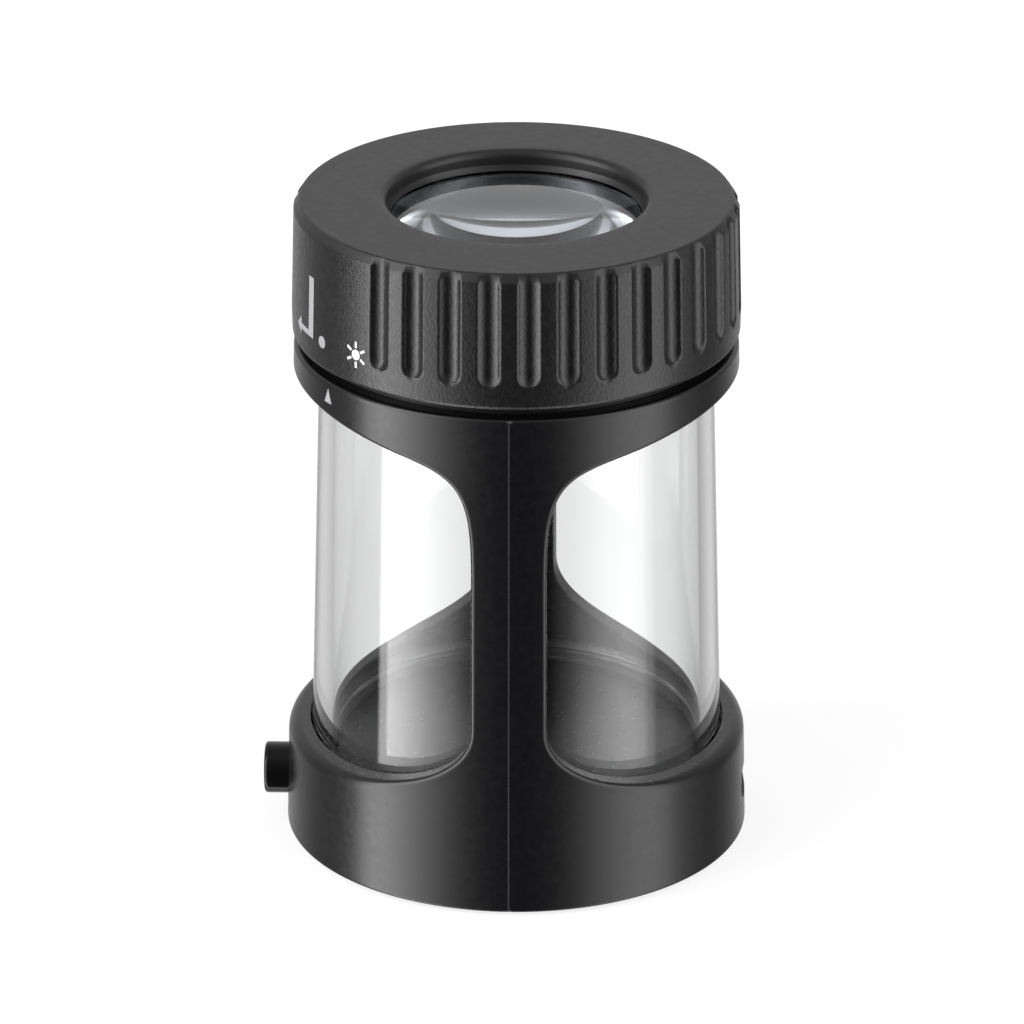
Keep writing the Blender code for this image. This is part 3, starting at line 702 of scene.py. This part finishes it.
def lid_mesh(columns=1080):
    line, rim = lid_outline()
    # split the loop into the outer wall, which is dense, and the rest
    loop = np.vstack([line, rim])
    dense = []
    n = len(loop)
    for i in range(n):
        p, q = loop[i], loop[(i + 1) % n]
        outer_wall = min(p[0], q[0]) > 30.3
        longest = 0.35 if outer_wall else 2.0
        k = max(1, int(math.ceil(np.linalg.norm(q - p) / longest)))
        for j in range(k):
            dense.append(p + (q - p) * j / k)
    dense = np.array(dense)
    angles = np.arange(columns) * 360.0 / columns
    centres = np.array([FLUTE_PHASE + FLUTE_PITCH * m for m in range(36)
                        if not 271.0 < FLUTE_PHASE + FLUTE_PITCH * m < 320.0])
    away = np.min(np.abs((angles[:, None] - centres[None, :] + 180) % 360 - 180), axis=1)
    rows = []
    for r, z in dense:
        if r > 29.0 and z > 77.0:
            wall = 30.54 + (92.1 - z) * 0.0262
            x = np.radians(away) * wall
            down = max(0.0, 79.25 - z)
            d2 = x * x + down * down
            bite = np.sqrt(np.maximum(1.9 ** 2 - d2, 0.0)) - 1.12
            floor = wall - np.where(d2 < 1.9 ** 2, bite, -1.0)
            soft = 0.16  # smooths the line where the flute meets the wall
            h = np.clip(0.5 + 0.5 * (r - floor) / soft, 0, 1)
            rr = floor * h + r * (1 - h) - soft * h * (1 - h) * 0.5
            rr = np.where(away > 7.0, r, rr)
        else:
            rr = np.full(columns, r)
        rows.append(around(angles, rr, z))
    pts = np.stack(rows)
    faces = grid_faces(len(rows), columns, True, True)
    row_of = np.repeat(np.arange(len(rows)), columns)
    side = (dense[:, 0] > 30.2) & (dense[:, 1] < 92.9)
    slots = np.where(side[row_of], 0, 1)
    obj = object_from("lid_shell", pts.reshape(-1, 3), faces, [LID_SIDE, LID_FACE], True, slots)
    return outward(obj)


lid = lid_mesh()
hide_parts("lid_cap")
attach(lid, "lid")
for c in (0, 120, 240):
    lug = bent_block(f"lid_lug_{c}", 27.6, 29.2, 76.4, 78.4, c - 5.1, c + 5.1, LID_FACE, 10, 0.2)
    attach(lug, "lid")

# ---------------------------------------------------------------- magnifier lens
def arc_profile(radius, curve, z_edge, up, n=28):
    edge = math.sqrt(curve ** 2 - radius ** 2)
    r = np.linspace(0, radius, n)
    z = z_edge + up * (np.sqrt(curve ** 2 - r ** 2) - edge)
    return np.stack([r, z], 1)


top_face = arc_profile(19.2, 84.0, 90.21, 1)
low_face = arc_profile(19.2, 100.0, 89.11, -1)
lens_line = np.vstack([top_face, [[19.34, 90.13], [19.4, 90.02], [19.4, 89.65], [19.4, 89.29], [19.34, 89.18]],
                       low_face[::-1]])


def turn_line(name, line, mat, segments=256):
    angles = np.arange(segments) * 360.0 / segments
    body = line[1:-1]
    pts = np.stack([around(angles, r, z) for r, z in body]).reshape(-1, 3)
    faces = grid_faces(len(body), segments, False, True).tolist()
    a, b = len(pts), len(pts) + 1
    last = (len(body) - 1) * segments
    for j in range(segments):
        k = (j + 1) % segments
        faces.append([a, k, j])
        faces.append([b, last + j, last + k])
    return outward(object_from(name, np.vstack([pts, [(0, 0, line[0][1])], [(0, 0, line[-1][1])]]), faces, mat))


lens = turn_line("lens_body", lens_line, LENS)
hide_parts("magnifier_lens")
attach(lens, "lid")

retainer = ring("lens_ring", [(19.4, 88.8, 0.1), (19.4, 83.3, 0.25), (16.7, 83.3, 0.35), (16.7, 88.3, 0.15), (18.2, 88.6, 0.1)],
                INNER, 192)
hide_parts("lens_retainer")
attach(retainer, "lid")
lamp_ring = ring("lamp_window", [(28.4, 85.3, 0.15), (28.4, 84.3, 0.25), (21.8, 84.3, 0.25), (21.8, 85.3, 0.15)], FROST, 256)
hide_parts("light_window")
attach(lamp_ring, "lid")
gasket = ring("lid_seal_ring", [(26.2, 84.0, 0.3), (26.2, 82.3, 0.3), (25.5, 82.3, 0.3), (25.5, 84.0, 0.3)], RUBBER, 256)
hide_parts("lid_gasket")
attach(gasket, "lid_seal")
board_ring = ring("lamp_board", [(28.4, 88.4, 0.1), (28.4, 87.2, 0.1), (21.8, 87.2, 0.1), (21.8, 88.4, 0.1)], WHITE_BOARD, 192)
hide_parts("led_board")
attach(board_ring, "lid")

# ---------------------------------------------------------------- printed marks
def patch(points_2d, radius_of, nu, nv, lift=0.045, sink=0.03):
    """points_2d(u, v) -> (angle, z). A thin plate that follows the wall."""
    u, v = np.meshgrid(np.linspace(0, 1, nu), np.linspace(0, 1, nv), indexing="ij")
    a, z = points_2d(u.ravel(), v.ravel())
    r = radius_of(z)
    top = around(a, r + lift, z)
    low = around(a, r - sink, z)
    n = nu * nv
    faces = grid_faces(nu, nv).tolist() + grid_faces(nu, nv, start=n, flip=True).tolist()
    rim = [i * nv for i in range(nu)] + [(nu - 1) * nv + j for j in range(1, nv)] + \
          [i * nv + nv - 1 for i in range(nu - 2, -1, -1)] + [j for j in range(nv - 2, 0, -1)]
    m = len(rim)
    faces += [[rim[i], n + rim[i], n + rim[(i + 1) % m], rim[(i + 1) % m]] for i in range(m)]
    return np.vstack([top, low]), faces


def disc(a0, z0, radius, radius_of, rings=4, seg=40, lift=0.045, sink=0.03):
    k = math.degrees(1 / 30.85)
    t = np.arange(seg) * 2 * np.pi / seg
    rr = np.linspace(0, radius, rings + 1)[1:]
    a = np.concatenate([[a0], (a0 + k * rr[:, None] * np.cos(t)).ravel()])
    z = np.concatenate([[z0], (z0 + rr[:, None] * np.sin(t)).ravel()])
    r = radius_of(z)
    top, low = around(a, r + lift, z), around(a, r - sink, z)
    n = len(a)
    faces = []
    for base, flip in ((0, False), (n, True)):
        for j in range(seg):
            f = [base, base + 1 + j, base + 1 + (j + 1) % seg]
            faces.append(f[::-1] if flip else f)
        g = grid_faces(rings, seg, False, True, start=base + 1, flip=not flip)
        faces += g.tolist()
    last = 1 + (rings - 1) * seg
    faces += [[last + j, n + last + j, n + last + (j + 1) % seg, last + (j + 1) % seg] for j in range(seg)]
    return np.vstack([top, low]), faces


def lid_wall(z):
    return np.where(z > 78.0, 30.92 - (z - 78.0) * 0.0279, 30.92 - (78.0 - z) * 0.02)


def quad(p0, p1, p2, p3):
    """Straight-sided patch between four (angle, z) corners."""
    c = np.array([p0, p1, p2, p3], float)

    def at(u, v):
        w = np.stack([(1 - u) * (1 - v), u * (1 - v), u * v, (1 - u) * v])
        return w.T @ c[:, 0], w.T @ c[:, 1]
    return at


def bar(a0, z0, a1, z1, width):
    """A stroke between two (angle, z) points."""
    k = math.radians(1) * 30.85
    d = np.array([(a1 - a0) * k, z1 - z0])
    d /= np.linalg.norm(d)
    n = np.array([-d[1], d[0]]) * width / 2
    return quad((a0 + n[0] / k, z0 + n[1]), (a1 + n[0] / k, z1 + n[1]),
                (a1 - n[0] / k, z1 - n[1]), (a0 - n[0] / k, z0 - n[1]))


def mark(name, shapes, body, ink=PRINT_GREY):
    points, faces = [], []
    count = 0
    for p, f in shapes:
        points.append(p)
        faces += [[i + count for i in q] for q in f]
        count += len(p)
    obj = object_from(name, np.vstack(points), faces, ink, smooth=False)
    bm = bmesh.new()
    bm.from_mesh(obj.data)
    bmesh.ops.recalc_face_normals(bm, faces=bm.faces)
    bm.to_mesh(obj.data)
    bm.free()
    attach(obj, body)
    return obj


DEG = math.degrees(1 / 30.85)
# sun
sun_a, sun_z = -42.4, 79.0
shapes = [disc(sun_a, sun_z, 0.74, lid_wall)]
for m in range(6):
    t = math.radians(90 + 60 * m)
    c, s = math.cos(t), math.sin(t)
    shapes.append(patch(bar(sun_a + 0.98 * c * DEG, sun_z + 0.98 * s, sun_a + 1.88 * c * DEG, sun_z + 1.88 * s, 0.36),
                        lid_wall, 5, 3))
mark("mark_sun", shapes, "lid", PRINT)
mark("mark_dot", [disc(-56.4, 78.5, 0.86, lid_wall)], "lid")
# bent arrow: down, then along to the left
mark("mark_arrow", [
    patch(quad((-62.5 - 1.4, 86.8), (-62.5 + 1.4, 86.8), (-62.5 + 1.4, 78.1), (-62.5 - 1.4, 78.1)), lid_wall, 5, 24),
    patch(quad((-69.2, 78.9), (-62.5 - 1.42, 78.9), (-62.5 - 1.42, 78.1), (-69.2, 78.1)), lid_wall, 16, 3),
    patch(quad((-69.1, 79.9), (-69.1, 77.3), (-72.2, 78.5), (-72.2, 78.5 + 0.02)), lid_wall, 6, 6),
], "lid")
# triangle on the collar
mark("mark_triangle", [patch(quad((-54.2 - 0.06, 72.05), (-54.2 + 0.06, 72.05), (-54.2 + 1.6, 70.0), (-54.2 - 1.6, 70.0)),
                             lambda z: cage_r(z), 5, 8)], "cage")

# ---------------------------------------------------------------- finishes on the CAD nodes that stay
FINISH = {
    "circuit_board": BOARD, "battery_cell": FOIL, "charging_socket": SOCKET, "switch_body": INNER,
    "wire_positive": RED_WIRE, "wire_negative": BLACK_WIRE, "lid_contact_positive": BRASS, "lid_contact_negative": BRASS,
    "locating_peg_lower": INNER, "locating_peg_upper": INNER, "switch_plunger": INNER,
    **{f"led_{i}": PHOSPHOR for i in range(1, 7)}, **{f"base_screw_{i}": STEEL for i in range(1, 5)},
}
for name, mat in FINISH.items():
    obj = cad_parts[name]
    if obj.material_slots:
        for s in obj.material_slots:
            s.material = mat
    else:
        obj.data.materials.append(mat)

# ---------------------------------------------------------------- camera
FOCAL_PX, DISTANCE, ELEVATION, SHIFT_X, AIM_Z, TURN = 6559.33, 915.23, 23.254, -0.621, 46.509, 2.0
e = math.radians(ELEVATION)
cam_data = bpy.data.cameras.new("camera")
cam_data.sensor_width = 36.0
cam_data.lens = FOCAL_PX / 1024 * 36.0
cam_data.clip_start, cam_data.clip_end = 0.05, 50.0
camera = bpy.data.objects.new("camera", cam_data)
bpy.context.scene.collection.objects.link(camera)
place = Matrix.Translation(Vector((SHIFT_X, -DISTANCE * math.cos(e), AIM_Z + DISTANCE * math.sin(e))) * MM)
camera.matrix_world = Matrix.Rotation(math.radians(TURN), 4, "Z") @ place @ Matrix.Rotation(math.pi / 2 - e, 4, "X")
bpy.context.scene.camera = camera

# ---------------------------------------------------------------- floor
bpy.ops.mesh.primitive_plane_add(size=12.0, location=(0, 0, -0.0002))
ground = bpy.context.object
ground.name = "studio_floor"
gm, gnt, gb = new_material("pale_floor")
gb.inputs["Base Color"].default_value = (0.3, 0.3, 0.3, 1)
gb.inputs["Roughness"].default_value = 0.9
gb.inputs["Specular IOR Level"].default_value = 0.0
gb.inputs["Emission Color"].default_value = (1, 1, 1, 1)
gb.inputs["Emission Strength"].default_value = 0.8
gm.cycles.emission_sampling = "NONE"
ground.data.materials.append(gm)
ground.visible_glossy = False
ground.visible_diffuse = False
ground.visible_transmission = False
ground.visible_shadow = False

# ---------------------------------------------------------------- studio light
scene = bpy.context.scene
world = bpy.data.worlds.new("studio")
scene.world = world
world.use_nodes = True
wt = world.node_tree
wt.nodes.clear()
L = wt.links


def wmath(op, a, b=None, c=None, clamp=False):
    n = wt.nodes.new("ShaderNodeMath")
    n.operation = op
    n.use_clamp = clamp
    for i, value in enumerate((a, b, c)):
        if value is None:
            continue
        if isinstance(value, (int, float)):
            n.inputs[i].default_value = value
        else:
            L.new(value, n.inputs[i])
    return n.outputs[0]


def ramp(value, points):
    """Piecewise linear function of a value, from (position, level) pairs."""
    total = None
    for (x0, y0), (x1, y1) in zip(points, points[1:]):
        m = wt.nodes.new("ShaderNodeMapRange")
        m.interpolation_type = "SMOOTHSTEP" if False else "LINEAR"
        m.inputs["From Min"].default_value, m.inputs["From Max"].default_value = x0, x1
        m.inputs["To Min"].default_value, m.inputs["To Max"].default_value = 0.0, y1 - y0
        L.new(value, m.inputs["Value"])
        total = m.outputs[0] if total is None else wmath("ADD", total, m.outputs[0])
    return wmath("ADD", total, points[0][1])


direction = wt.nodes.new("ShaderNodeTexCoord").outputs["Generated"]
split = wt.nodes.new("ShaderNodeSeparateXYZ")
L.new(direction, split.inputs[0])
X, Y, Z = split.outputs
turn = math.radians(TURN)
cx = wmath("ADD", wmath("MULTIPLY", X, math.cos(turn)), wmath("MULTIPLY", Y, math.sin(turn)))
cy = wmath("ADD", wmath("MULTIPLY", Y, math.cos(turn)), wmath("MULTIPLY", X, -math.sin(turn)))
azimuth = wmath("MULTIPLY", wmath("ARCTAN2", cx, wmath("MULTIPLY", cy, -1.0)), 180 / math.pi)
elevation = wmath("MULTIPLY", wmath("ARCSINE", Z), 180 / math.pi)
# level by azimuth, 0 towards the camera: soft panels on both sides, white behind
around_low = ramp(azimuth, [
    (-180, 0.95), (-150, 0.8), (-120, 0.35), (-95, 0.25), (-85, 0.3), (-82, 8.2), (-72, 7.4), (-60, 5.1), (-52, 3.5),
    (-45, 2.5), (-38, 1.65), (-31, 0.75), (-20, 0.12), (0, 0.02), (20, 0.08), (31, 0.6), (37, 1.28), (45, 2.08),
    (52, 2.85), (59, 3.3), (67, 3.75), (76, 3.3), (82, 2.7), (86, 0.8), (100, 0.5), (115, 0.15), (140, 0.5),
    (165, 1.0), (180, 1.0)])
around_high = ramp(azimuth, [
    (-180, 1.0), (-120, 0.8), (-95, 0.5), (-86, 0.7), (-82, 8.5), (-60, 6.2), (-45, 2.8), (-31, 0.8), (-15, 0.2),
    (0, 0.12), (15, 0.2), (31, 0.7), (45, 2.0), (60, 3.9), (82, 4.2), (86, 0.6), (95, 0.35), (120, 0.65), (180, 1.0)])
rise = ramp(elevation, [(-5, 0.0), (25, 1.0)])
level = wmath("ADD", wmath("MULTIPLY", around_low, wmath("SUBTRACT", 1.0, rise)), wmath("MULTIPLY", around_high, rise))
overhead = ramp(elevation, [(22, 0.0), (45, 0.35), (75, 1.0)])
level = wmath("ADD", wmath("MULTIPLY", level, wmath("SUBTRACT", 1.0, overhead)), wmath("MULTIPLY", overhead, 0.55))
studio = wt.nodes.new("ShaderNodeBackground")
L.new(level, studio.inputs["Strength"])
white = wt.nodes.new("ShaderNodeBackground")
path = wt.nodes.new("ShaderNodeLightPath")
# straight through the clear plastic the pale backdrop shows, and mirrored off it the studio does
bounced = wmath("ADD", path.outputs["Glossy Depth"], path.outputs["Diffuse Depth"])
through = wmath("MULTIPLY", path.outputs["Is Transmission Ray"], wmath("LESS_THAN", bounced, 0.5))
seen = wmath("MAXIMUM", path.outputs["Is Camera Ray"], through)
L.new(wmath("MULTIPLY_ADD", through, 0.11, 1.02), white.inputs["Strength"])
mix = wt.nodes.new("ShaderNodeMixShader")
L.new(seen, mix.inputs[0])
L.new(studio.outputs[0], mix.inputs[1])
L.new(white.outputs[0], mix.inputs[2])
out = wt.nodes.new("ShaderNodeOutputWorld")
L.new(mix.outputs[0], out.inputs[0])

scene.view_settings.view_transform = "Standard"
scene.view_settings.look = "None"
scene.view_settings.exposure = 0.0
scene.view_settings.gamma = 1.0
scene.cycles.max_bounces = 24
scene.cycles.transmission_bounces = 16
scene.cycles.glossy_bounces = 8
scene.cycles.transparent_max_bounces = 16
scene.cycles.blur_glossy = 0.5
scene.cycles.caustics_reflective = True
scene.cycles.caustics_refractive = True
